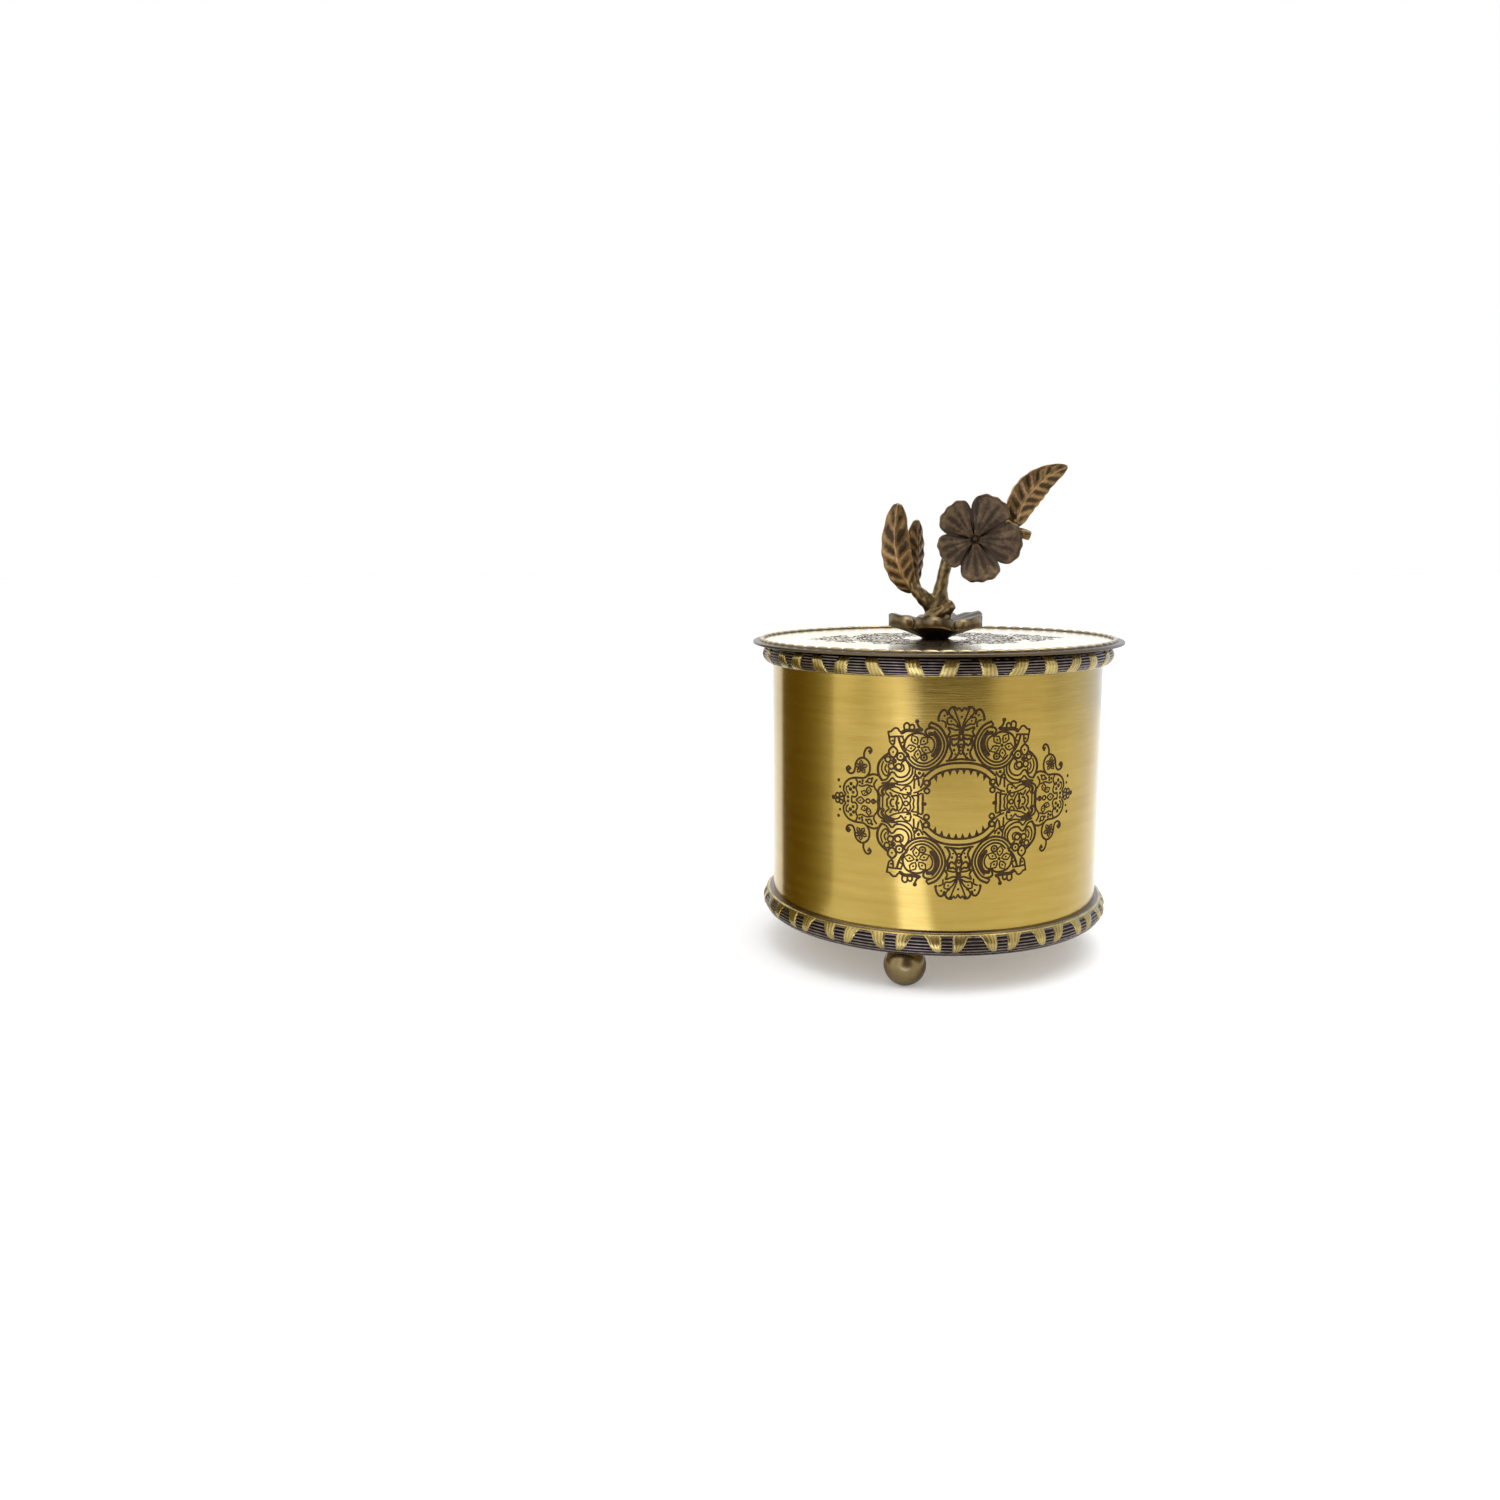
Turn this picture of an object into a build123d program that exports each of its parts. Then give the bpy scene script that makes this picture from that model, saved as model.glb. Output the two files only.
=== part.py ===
from build123d import *
import os
from math import cos, radians, sin, sqrt

# Keepsake box: a round brass canister on three ball feet, with a lift-off lid whose
# knob is a cast spray of leaves and one blossom. Millimetres, +Z up, the floor at Z 0,
# the engraved front towards -Y.

# driving sizes of the canister
body_radius = 50.5  # outside of the sheet wall
wall_thickness = 0.8
mouth_height = 95.3  # top edge of the wall above the floor
base_thickness = 1.0
pan_flange_height = 4.0  # upturned edge that is soldered inside the wall

# reeded gallery bands, one round the foot and one round the mouth
upper_band_height = 5.8
lower_band_height = 6.6
band_bulge = 3.0  # how far the half-round strip stands out from the wall
band_lip = 1.1  # thickness of the strip at its two edges
band_drop = 0.8  # the lower band hangs this far below the base
reed_count = 6
reed_rise = 0.3
reed_land = 0.5  # smooth edge above and below the reeds

# ball feet
foot_radius = 6.1
foot_flat_radius = 1.6  # worn flat under the ball, and the one that meets the base
foot_count = 3
foot_inset = 5.0  # ball centre inside the outside of the wall
foot_turn = -17.5  # degrees from the front to the first foot, seen from above
foot_screw_radius = 1.25
foot_screw_length = 5.0  # from the top of the base down into the ball
foot_screw_head_radius = 2.1
foot_screw_head_height = 1.5
foot_screw_clearance = 0.1

# lid
lid_radius = 56.6
lid_thickness = 0.8
lid_gap = 0.3  # between the underside of the lid and the mouth
lid_flange_width = 1.8  # sloping outer edge of the lid
lid_flange_drop = 0.2
border_width = 1.8  # rope border soldered on the lid, inside the sloping edge
border_rise = 0.8
collar_clearance = 0.5  # between the lid's collar and the inside of the wall
collar_thickness = 0.8
collar_depth = 8.0

# fastening of the knob
stud_radius = 2.0
stud_clearance = 0.05
stud_hole_clearance = 0.2
stud_engagement = 4.0  # length of the stud inside the dish
stud_tail = 1.0  # thread left below the nut
washer_radius = 4.5
washer_thickness = 0.8
nut_across_flats = 7.0
nut_height = 3.2

# cast knob, given in the plane of its front view: x to the right, z above the lid
dish_radius = 14.6
dish_foot_radius = 4.0
dish_height = 7.2
dish_rim = 3.2  # height of the lobed edge
dish_floor = 2.2  # depth of the hollow below the rim
dish_lobes = 6
dish_lobe_radius = 6.6
stem_points = [  # (x, z, radius) up the main stem, which passes behind the blossom
    (0.4, 5.2, 4.0),
    (0.8, 10.0, 3.4),
    (1.4, 16.0, 2.3),
    (3.6, 24.0, 2.1),
    (11.0, 29.5, 2.2),
    (19.0, 32.4, 2.0),
    (24.6, 32.2, 1.7),
    (28.6, 31.1, 1.7),
]
fork_points = [  # (x, z, radius) along the side branch to the folded leaf
    (0.0, 10.2, 3.2),
    (-3.6, 13.0, 2.5),
    (-7.2, 16.6, 1.9),
]
stem_back = 1.5  # the stem lies this far behind the middle of the lid
knot_place = (4.2, 10.2)
knot_radius = 2.3

leaf_thickness = 1.5
leaf_shoulder = 0.08  # where a leaf starts to widen, and where it starts to narrow,
leaf_reach = 0.68  # as shares of its length
big_leaf_base = (-7.4, 14.6)
big_leaf_tip = (-12.2, 41.3)
big_leaf_left = 7.2  # widths either side of the line from base to tip
big_leaf_right = 2.2
big_leaf_sag = 2.6
big_leaf_fold = 24.0  # degrees that the two folded leaves turn away from the front
small_leaf_base = (-6.4, 17.4)
small_leaf_tip = (-6.0, 36.4)
small_leaf_left = 3.0
small_leaf_right = 2.8
small_leaf_sag = 1.8
end_leaf_base = (23.6, 34.0)
end_leaf_tip = (39.8, 52.5)
end_leaf_left = 8.0
end_leaf_right = 2.9
end_leaf_sag = 1.8
end_leaf_turn = 12.0

blossom_place = (10.8, 30.2)
blossom_front = 5.5  # the eye of the blossom stands this far in front of the stem
blossom_tilt = 8.0  # degrees that the blossom looks up
blossom_radius = 13.2
petal_count = 5
petal_turn = -10.0  # degrees from level to the first petal
petal_radius = 5.3
petal_cup = 3.2  # rise of the petals from the eye to the rim
petal_thickness = 1.6
eye_radius = 1.7

# places worked out from the sizes above
foot_half = sqrt(foot_radius**2 - foot_flat_radius**2)
base_level = 2 * foot_half
base_top = base_level + base_thickness
inner_radius = body_radius - wall_thickness
foot_circle = body_radius - foot_inset
lower_band_level = base_level - band_drop
upper_band_level = mouth_height - upper_band_height
lid_level = mouth_height + lid_gap
lid_top = lid_level + lid_thickness
collar_radius = inner_radius - collar_clearance
stud_low = lid_level - washer_thickness - nut_height - stud_tail
fit = stud_radius + stud_clearance

os.makedirs("parts", exist_ok=True)


def save(piece, name):
    piece.part.label = name
    export_step(piece.part, f"parts/{name}.step")


def foot_centre(index):
    turn = radians(foot_turn + index * 360 / foot_count)
    return foot_circle * sin(turn), -foot_circle * cos(turn)


def front_point(place, back=0.0):
    # a point of the knob from its place in the front view
    return Vector(place[0], stem_back + back, lid_top + place[1])


def gallery_band(level, height):
    # half-round strip whose face is a row of reeds between two smooth edges
    def face_radius(share):
        bow = 1 - (2 * share - 1) ** 2
        return body_radius + band_lip + (band_bulge - band_lip - reed_rise) * bow

    land = reed_land / height
    steps = [land + (1 - 2 * land) * i / reed_count for i in range(reed_count + 1)]
    with BuildPart() as band:
        with BuildSketch(Plane.XZ):
            with BuildLine():
                top = level + height
                Line((face_radius(0), level), (face_radius(land), level + reed_land))
                for low, high in zip(steps, steps[1:]):
                    middle = (low + high) / 2
                    ThreePointArc(
                        (face_radius(low), level + low * height),
                        (face_radius(middle) + reed_rise, level + middle * height),
                        (face_radius(high), level + high * height),
                    )
                Polyline(
                    (face_radius(1 - land), top - reed_land),
                    (face_radius(1), top),
                    (body_radius, top),
                    (body_radius, level),
                    (face_radius(0), level),
                )
            make_face()
        revolve(axis=Axis.Z)
    return band


def branch(points):
    # tapering limb: a cone between each two points and a ball at each point
    with BuildPart() as limb:
        for (x, z, radius), (next_x, next_z, next_radius) in zip(points, points[1:]):
            start = front_point((x, z))
            end = front_point((next_x, next_z))
            run = end - start
            with BuildSketch(Plane(start, z_dir=run)):
                Circle(radius)
            with BuildSketch(Plane(end, z_dir=run)):
                Circle(next_radius)
            loft()
        for x, z, radius in points:
            with Locations(front_point((x, z))):
                Sphere(radius)
    return limb


def leaf(base, tip, left, right, sag, turn, front, cut):
    # leaf blade: a pointed outline cut from a sheet that is bowed along its length
    start = front_point(base, -front)
    along = front_point(tip, -front) - start
    length = along.length
    facing = Vector(0, -1, 0).rotate(Axis((0, 0, 0), along), turn)
    blade_plane = Plane(start, x_dir=along, z_dir=facing)
    side_plane = Plane(start, x_dir=along, z_dir=blade_plane.y_dir)
    with BuildPart() as blade:
        with BuildSketch(side_plane):
            with BuildLine():
                ThreePointArc((0, 0), (length / 2, sag), (length, 0))
                Line((length, 0), (length, leaf_thickness))
                ThreePointArc(
                    (length, leaf_thickness),
                    (length / 2, sag + leaf_thickness),
                    (0, leaf_thickness),
                )
                Line((0, leaf_thickness), (0, 0))
            make_face()
        extrude(amount=max(left, right), both=True)
        with BuildSketch(blade_plane):
            with BuildLine():
                for bulge in (4 / 3 * left, -4 / 3 * right):
                    Bezier(
                        (0, 0),
                        (leaf_shoulder * length, bulge),
                        (leaf_reach * length, bulge),
                        (length, 0),
                    )
            make_face()
        extrude(amount=sag + 2 * leaf_thickness, both=True, mode=Mode.INTERSECT)
        for piece in cut:
            add(piece.part, mode=Mode.SUBTRACT)
    return blade


# canister: rolled wall with the base pan soldered inside it
with BuildPart() as body_wall:
    with BuildSketch(Plane.XY.offset(base_level)):
        Circle(body_radius)
        Circle(inner_radius, mode=Mode.SUBTRACT)
    extrude(amount=mouth_height - base_level)
save(body_wall, "body_wall")

screw_hole_radius = foot_screw_radius + foot_screw_clearance
foot_places = [foot_centre(i) for i in range(foot_count)]
with BuildPart() as base_pan:
    with BuildSketch(Plane.XY.offset(base_level)):
        Circle(inner_radius)
    extrude(amount=base_thickness)
    with BuildSketch(Plane.XY.offset(base_top)):
        Circle(inner_radius)
        Circle(inner_radius - base_thickness, mode=Mode.SUBTRACT)
    extrude(amount=pan_flange_height)
    with Locations([(x, y, base_top) for x, y in foot_places]):
        Hole(screw_hole_radius, depth=base_thickness)
save(base_pan, "base_pan")

save(gallery_band(lower_band_level, lower_band_height), "lower_band")
save(gallery_band(upper_band_level, upper_band_height), "upper_band")

# feet, each held by a screw from inside the box
for number, (x, y) in enumerate(foot_places, start=1):
    with BuildPart() as ball_foot:
        with Locations((x, y, foot_half)):
            Sphere(foot_radius)
            Box(2 * foot_radius, 2 * foot_radius, base_level, mode=Mode.INTERSECT)
        with Locations((x, y, base_level)):
            Hole(screw_hole_radius, depth=foot_screw_length - base_thickness)
    save(ball_foot, f"foot_{number}")

with BuildPart() as foot_screws:
    for x, y in foot_places:
        with BuildSketch(Plane((x, y, base_top))):
            Circle(foot_screw_head_radius)
        extrude(amount=foot_screw_head_height)
        with BuildSketch(Plane((x, y, base_top))):
            Circle(foot_screw_radius)
        extrude(amount=-foot_screw_length)
save(foot_screws, "foot_screws")

# lid: a flat plate with a sloping edge, a rope border on top and a collar beneath
flange_start = lid_radius - lid_flange_width
with BuildPart() as lid_plate:
    with BuildSketch(Plane.XZ):
        with BuildLine():
            Polyline(
                (0, lid_level),
                (flange_start, lid_level),
                (lid_radius, lid_level - lid_flange_drop),
                (lid_radius, lid_top - lid_flange_drop),
                (flange_start, lid_top),
                (0, lid_top),
                close=True,
            )
        make_face()
    revolve(axis=Axis.Z)
    with Locations((0, 0, lid_top)):
        Hole(stud_radius + stud_hole_clearance, depth=lid_thickness)
save(lid_plate, "lid_plate")

border_middle = flange_start - border_width / 2
with BuildPart() as lid_border:
    with BuildSketch(Plane.XZ):
        with BuildLine():
            ThreePointArc(
                (border_middle - border_width / 2, lid_top),
                (border_middle, lid_top + border_rise),
                (border_middle + border_width / 2, lid_top),
            )
            Line((flange_start, lid_top), (flange_start - border_width, lid_top))
        make_face()
    revolve(axis=Axis.Z)
save(lid_border, "lid_border")

with BuildPart() as lid_collar:
    with BuildSketch(Plane.XY.offset(lid_level)):
        Circle(collar_radius)
        Circle(collar_radius - collar_thickness, mode=Mode.SUBTRACT)
    extrude(amount=-collar_depth)
save(lid_collar, "lid_collar")

# knob dish: a lobed cup that stands on the lid
dish_centre = dish_radius - dish_lobe_radius
with BuildPart() as knob_dish:
    with BuildSketch(Plane.XZ):
        with BuildLine():
            Polyline(
                (0, lid_top),
                (dish_foot_radius, lid_top),
                (dish_centre, lid_top + dish_height - dish_rim - dish_floor / 2),
                (dish_radius, lid_top + dish_height - dish_rim),
                (dish_radius, lid_top + dish_height),
                (dish_centre, lid_top + dish_height - dish_floor / 2),
                (0, lid_top + dish_height - dish_floor),
                close=True,
            )
        make_face()
    revolve(axis=Axis.Z)
    with BuildSketch(Plane.XY.offset(lid_top)):
        Circle(dish_centre + dish_lobe_radius / 3)
        with PolarLocations(dish_centre, dish_lobes):
            Circle(dish_lobe_radius)
    extrude(amount=dish_height, mode=Mode.INTERSECT)
    with BuildSketch(Plane.XY.offset(lid_top)):
        Circle(fit)
    extrude(amount=stud_engagement, mode=Mode.SUBTRACT)
save(knob_dish, "knob_dish")

with BuildPart() as knob_stem:
    add(branch(stem_points).part)
    add(branch(fork_points).part)
    with Locations(front_point(knot_place)):
        Sphere(knot_radius)
    add(knob_dish.part, mode=Mode.SUBTRACT)
    split(bisect_by=Plane.XY.offset(lid_top + stud_engagement), keep=Keep.TOP)
save(knob_stem, "knob_stem")

# leaves, cut where the stem passes through them
big_leaf = leaf(
    big_leaf_base,
    big_leaf_tip,
    big_leaf_left,
    big_leaf_right,
    big_leaf_sag,
    -big_leaf_fold,
    leaf_thickness,
    [knob_stem],
)
save(big_leaf, "knob_leaf_big")
small_leaf = leaf(
    small_leaf_base,
    small_leaf_tip,
    small_leaf_left,
    small_leaf_right,
    small_leaf_sag,
    big_leaf_fold,
    -leaf_thickness,
    [knob_stem, big_leaf],
)
save(small_leaf, "knob_leaf_small")
end_leaf = leaf(
    end_leaf_base,
    end_leaf_tip,
    end_leaf_left,
    end_leaf_right,
    end_leaf_sag,
    end_leaf_turn,
    0.0,
    [knob_stem],
)
save(end_leaf, "knob_leaf_end")

# blossom: five cupped petals on one boss that is brazed to the stem
blossom_plane = Plane(
    front_point(blossom_place, -blossom_front),
    x_dir=(1, 0, 0),
    z_dir=(0, -cos(radians(blossom_tilt)), sin(radians(blossom_tilt))),
)
petal_centre = blossom_radius - petal_radius
profile_plane = Plane(
    blossom_plane.origin, x_dir=blossom_plane.x_dir, z_dir=-blossom_plane.y_dir
)
with BuildPart() as blossom:
    with BuildSketch(profile_plane):
        with BuildLine():
            Polyline(
                (0, 0),
                (eye_radius, 0),
                (blossom_radius, petal_cup),
                (blossom_radius, petal_cup - petal_thickness),
                (eye_radius, -petal_thickness),
                (eye_radius, -blossom_front),
                (0, -blossom_front),
                close=True,
            )
        make_face()
    revolve(axis=Axis(blossom_plane.origin, blossom_plane.z_dir))
    with BuildSketch(blossom_plane.offset(-blossom_front)):
        Circle(petal_centre)
        with PolarLocations(petal_centre, petal_count, start_angle=petal_turn):
            Circle(petal_radius)
    extrude(amount=blossom_front + petal_cup, mode=Mode.INTERSECT)
    add(knob_stem.part, mode=Mode.SUBTRACT)
save(blossom, "knob_blossom")

with BuildPart() as blossom_eye:
    with BuildSketch(profile_plane):
        with BuildLine():
            CenterArc((0, 0), eye_radius, 0, 90)
            Polyline((0, eye_radius), (0, 0), (eye_radius, 0))
        make_face()
    revolve(axis=Axis(blossom_plane.origin, blossom_plane.z_dir))
save(blossom_eye, "knob_blossom_eye")

# stud, washer and nut that hold the knob to the lid
with BuildPart() as knob_stud:
    with BuildSketch(Plane.XY.offset(stud_low)):
        Circle(stud_radius)
    extrude(amount=lid_top + stud_engagement - stud_low)
save(knob_stud, "knob_stud")

with BuildPart() as knob_washer:
    with BuildSketch(Plane.XY.offset(lid_level)):
        Circle(washer_radius)
        Circle(fit, mode=Mode.SUBTRACT)
    extrude(amount=-washer_thickness)
save(knob_washer, "knob_washer")

with BuildPart() as knob_nut:
    with BuildSketch(Plane.XY.offset(lid_level - washer_thickness)):
        RegularPolygon(nut_across_flats / 2, 6, major_radius=False)
        Circle(fit, mode=Mode.SUBTRACT)
    extrude(amount=-nut_height)
save(knob_nut, "knob_nut")
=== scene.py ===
from math import atan2, cos, degrees, exp, hypot, pi, radians, sin, sqrt

import bmesh
import bpy
from mathutils import Matrix, Vector
from mathutils.geometry import delaunay_2d_cdt


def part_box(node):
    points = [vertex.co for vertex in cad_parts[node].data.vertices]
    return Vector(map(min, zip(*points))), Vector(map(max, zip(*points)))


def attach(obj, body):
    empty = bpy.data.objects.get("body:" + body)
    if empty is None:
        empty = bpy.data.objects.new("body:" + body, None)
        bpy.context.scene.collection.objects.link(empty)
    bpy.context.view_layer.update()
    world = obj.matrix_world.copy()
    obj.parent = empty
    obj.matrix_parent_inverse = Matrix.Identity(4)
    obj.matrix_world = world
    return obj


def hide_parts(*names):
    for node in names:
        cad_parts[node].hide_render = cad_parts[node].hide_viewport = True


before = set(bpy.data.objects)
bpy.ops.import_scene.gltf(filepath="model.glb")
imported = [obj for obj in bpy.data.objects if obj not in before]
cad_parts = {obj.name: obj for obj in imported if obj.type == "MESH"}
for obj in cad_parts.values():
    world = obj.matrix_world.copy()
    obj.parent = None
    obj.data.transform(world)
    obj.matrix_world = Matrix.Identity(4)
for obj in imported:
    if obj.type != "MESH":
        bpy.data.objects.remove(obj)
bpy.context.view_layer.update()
scene = bpy.context.scene
mm = 0.001


# helpers for meshes, in millimetres
def makeObject(name, bm, doubles=1e-4):
    bmesh.ops.remove_doubles(bm, verts=bm.verts, dist=doubles)
    bmesh.ops.recalc_face_normals(bm, faces=bm.faces)
    bmesh.ops.scale(bm, vec=(mm, mm, mm), verts=bm.verts)
    mesh = bpy.data.meshes.new(name)
    bm.to_mesh(mesh)
    bm.free()
    for polygon in mesh.polygons:
        polygon.use_smooth = True
    obj = bpy.data.objects.new(name, mesh)
    scene.collection.objects.link(obj)
    return obj


def onBody(obj, body, material):
    obj.data.materials.clear()
    obj.data.materials.append(material)
    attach(obj, body)


def addGrid(bm, points, closeRows=False, closeColumns=False, layer=None, values=None):
    # quads over a table of points, with an optional value for each point
    table = [[bm.verts.new(point) for point in row] for row in points]
    if layer is not None:
        for row, rowValues in zip(table, values):
            for vert, value in zip(row, rowValues):
                vert[layer] = value
    rowCount, columnCount = len(table), len(table[0])
    for i in range(rowCount if closeRows else rowCount - 1):
        for j in range(columnCount if closeColumns else columnCount - 1):
            below, right = (i + 1) % rowCount, (j + 1) % columnCount
            bm.faces.new((table[i][j], table[i][right], table[below][right], table[below][j]))
    return table


def smoothPath(points, steps):
    # points along a rounded path through the given ones
    count = len(points)
    path = []
    for i in range(count - 1):
        before, start = points[max(i - 1, 0)], points[i]
        end, after = points[i + 1], points[min(i + 2, count - 1)]
        for k in range(steps):
            t = k / steps
            place = []
            for a, b, c, d in zip(before, start, end, after):
                flow = 2 * b + (c - a) * t
                flow += (2 * a - 5 * b + 4 * c - d) * t * t
                flow += (3 * b - a - 3 * c + d) * t**3
                place.append(0.5 * flow)
            path.append(tuple(place))
    return path + [tuple(points[-1])]


def around(radius, turn, z):
    # the point at a turn from the front, in radians
    return (radius * sin(turn), -radius * cos(turn), z)


def circle(x, y, radius, count):
    turns = [2 * pi * k / count for k in range(count)]
    return [(x + radius * cos(turn), y + radius * sin(turn)) for turn in turns]


def heights(node):
    # the bottom and the top of a node, in millimetres
    return [corner.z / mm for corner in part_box(node)]


# shader maths
class Number:
    def __init__(self, maker, socket):
        self.maker, self.socket = maker, socket

    def mathWith(self, operation, first, second):
        node = self.maker.node("ShaderNodeMath", {"operation": operation}, [first, second])
        return Number(self.maker, node.outputs[0])

    def __add__(self, other):
        return self.mathWith("ADD", self, other)

    def __radd__(self, other):
        return self.mathWith("ADD", other, self)

    def __sub__(self, other):
        return self.mathWith("SUBTRACT", self, other)

    def __rsub__(self, other):
        return self.mathWith("SUBTRACT", other, self)

    def __mul__(self, other):
        return self.mathWith("MULTIPLY", self, other)

    def cosine(self):
        return self.mathWith("COSINE", self, 0.0)

    def power(self, other):
        return self.mathWith("POWER", self, other)

    def clamped(self, low, high):
        node = self.maker.node(
            "ShaderNodeMapRange", {"clamp": True}, {"Value": self, "From Min": low, "From Max": high}
        )
        return Number(self.maker, node.outputs[0])


class Maker:
    def __init__(self, name, **constants):
        self.material = bpy.data.materials.new(name)
        self.material.use_nodes = True
        self.tree = self.material.node_tree
        self.shader = self.tree.nodes["Principled BSDF"]
        for socketName, value in constants.items():
            self.shader.inputs[socketName.replace("_", " ")].default_value = value

    def node(self, kind, settings, inputs):
        node = self.tree.nodes.new(kind)
        for key, value in settings.items():
            setattr(node, key, value)
        pairs = inputs.items() if isinstance(inputs, dict) else enumerate(inputs)
        for key, value in pairs:
            self.feed(node.inputs[key], value)
        return node

    def feed(self, socket, value):
        if isinstance(value, Number):
            self.tree.links.new(value.socket, socket)
        else:
            socket.default_value = value

    def place(self):
        # object coordinates, in metres
        coords = self.node("ShaderNodeTexCoord", {}, {})
        return Number(self, coords.outputs["Object"])

    def split(self, vector):
        node = self.node("ShaderNodeSeparateXYZ", {}, [vector])
        return [Number(self, output) for output in node.outputs]

    def join(self, x, y, z):
        return Number(self, self.node("ShaderNodeCombineXYZ", {}, [x, y, z]).outputs[0])

    def noise(self, vector, scale, detail=3.0, rough=0.55):
        inputs = {"Vector": vector, "Scale": scale, "Detail": detail, "Roughness": rough}
        return Number(self, self.node("ShaderNodeTexNoise", {}, inputs).outputs[0])

    def mix(self, factor, first, second):
        node = self.node("ShaderNodeMix", {"data_type": "RGBA"}, {0: factor, 6: first, 7: second})
        return Number(self, node.outputs[2])

    def attribute(self, name):
        node = self.node("ShaderNodeAttribute", {"attribute_name": name}, {})
        return Number(self, node.outputs["Fac"])

    def colour(self, value):
        self.feed(self.shader.inputs["Base Color"], value)

    def rough(self, value):
        self.feed(self.shader.inputs["Roughness"], value)

    def bump(self, height, distance, strength):
        inputs = {"Height": height, "Distance": distance, "Strength": strength}
        node = self.node("ShaderNodeBump", {}, inputs)
        self.tree.links.new(node.outputs[0], self.shader.inputs["Normal"])


# materials; noise scales are per metre
def brushed(name, bright, dark, across, roughness, direction):
    # brass sheet with fine brush lines, round the wall or on circles about the axis
    maker = Maker(name, Metallic=1.0)
    x, y, z = maker.split(maker.place())
    if direction == "round":
        along = 130.0
        lines = maker.join(x * along, y * along, z * across)
    else:
        along = 60.0
        radius = (x * x + y * y).power(0.5)
        lines = maker.join(x * along, y * along, radius * across)
    fine = maker.noise(lines, 1.0, 4.0, 0.65)
    patches = maker.noise(maker.place(), 38.0, 3.0, 0.6)
    streaks = maker.noise(maker.join(x * 40.0, y * 40.0, z * 500.0), 1.0, 2.0)
    tarnish = (fine * 0.35 + patches * 0.35 + streaks * 0.3).clamped(0.36, 0.66)
    maker.colour(maker.mix(tarnish, dark, bright))
    maker.rough(roughness + (fine - 0.5) * 0.2)
    maker.bump(fine, 0.02 * mm, 0.5)
    return maker.material


def castMetal(name, bright, dark, roughness, evenWearAndLight=None):
    # dark cast metal, lighter on raised places and darker in hollows by a level each mesh carries:
    # partly wear and patina, partly painted highlight and painted shade
    maker = Maker(name, Metallic=1.0)
    place = maker.place()
    grain = maker.noise(place, 900.0, 3.0, 0.6)
    blotch = maker.noise(place, 160.0, 3.0, 0.6)
    wearAndLightLevel = maker.attribute("rub") if evenWearAndLight is None else evenWearAndLight
    rub = ((blotch - 0.5) * 0.9 + (grain - 0.5) * 0.5 + wearAndLightLevel).clamped(0.25, 0.95)
    maker.colour(maker.mix(rub, dark, bright))
    maker.rough(roughness - rub * 0.12)
    maker.bump(grain * 0.6 + blotch, 0.12 * mm, 0.6)
    return maker.material


def plainMetal(name, bright, dark, roughness, scale=300.0):
    maker = Maker(name, Metallic=1.0)
    patches = maker.noise(maker.place(), scale, 3.0, 0.6)
    maker.colour(maker.mix(patches.clamped(0.3, 0.7), dark, bright))
    maker.rough(roughness + (patches - 0.5) * 0.15)
    return maker.material


def galleryMetal(name, node):
    # darkened reeds: painted shade makes the hollows nearly black and painted highlights make the
    # ridges a grey brown
    hollowShadeColour, ridgeHighlightColour = (0.020, 0.015, 0.014, 1), (0.20, 0.165, 0.145, 1)
    land, reedCount = 0.5, 6
    bottom, top = heights(node)
    maker = Maker(name, Metallic=1.0)
    _, _, z = maker.split(maker.place())
    turns = (z * 1000 - bottom - land) * (2 * pi * reedCount / (top - bottom - 2 * land))
    wear = maker.noise(maker.place(), 420.0)
    ridgeHighlight = (turns.cosine() * -0.5 + 0.5 + (wear - 0.5) * 0.7).clamped(0.6, 1.05)
    maker.colour(maker.mix(ridgeHighlight, hollowShadeColour, ridgeHighlightColour))
    maker.rough(0.34 + (wear - 0.5) * 0.2)
    return maker.material


goldBright, goldDark = (0.395, 0.285, 0.075, 1), (0.295, 0.20, 0.043, 1)
wallBrass = brushed("wallBrass", goldBright, goldDark, 4200.0, 0.17, "round")
lidBrass = brushed("lidBrass", (0.86, 0.76, 0.52, 1), (0.74, 0.62, 0.36, 1), 3000.0, 0.16, "flat")
innerBrass = plainMetal("innerBrass", (0.62, 0.47, 0.22, 1), (0.42, 0.30, 0.13, 1), 0.42)
footBrass = plainMetal("footBrass", (0.225, 0.17, 0.08, 1), (0.125, 0.09, 0.042, 1), 0.26, 140.0)
bronze = castMetal("bronze", (0.25, 0.17, 0.10, 1), (0.045, 0.032, 0.023, 1), 0.44)
dishBronze = castMetal("dishBronze", (0.25, 0.185, 0.10, 1), (0.045, 0.034, 0.022, 1), 0.44)
leafBronze = castMetal("leafBronze", (0.42, 0.26, 0.115, 1), (0.05, 0.034, 0.019, 1), 0.42)
stemBronze = castMetal("stemBronze", (0.36, 0.25, 0.11, 1), (0.060, 0.042, 0.022, 1), 0.42, 0.5)
leafBrass = castMetal("leafBrass", (0.42, 0.325, 0.115, 1), (0.10, 0.072, 0.035, 1), 0.36)
rimBrass = castMetal("rimBrass", (0.50, 0.40, 0.22, 1), (0.10, 0.075, 0.045, 1), 0.34)
screwBrass = plainMetal("screwBrass", (0.66, 0.50, 0.24, 1), (0.50, 0.36, 0.16, 1), 0.3)
screwSteel = plainMetal("screwSteel", (0.58, 0.58, 0.57, 1), (0.42, 0.42, 0.42, 1), 0.3)
etch = plainMetal("etch", (0.075, 0.045, 0.022, 1), (0.035, 0.022, 0.012, 1), 0.55, 900.0)
lowerReeds = galleryMetal("lowerReeds", "lower_band")
upperReeds = galleryMetal("upperReeds", "upper_band")

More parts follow.
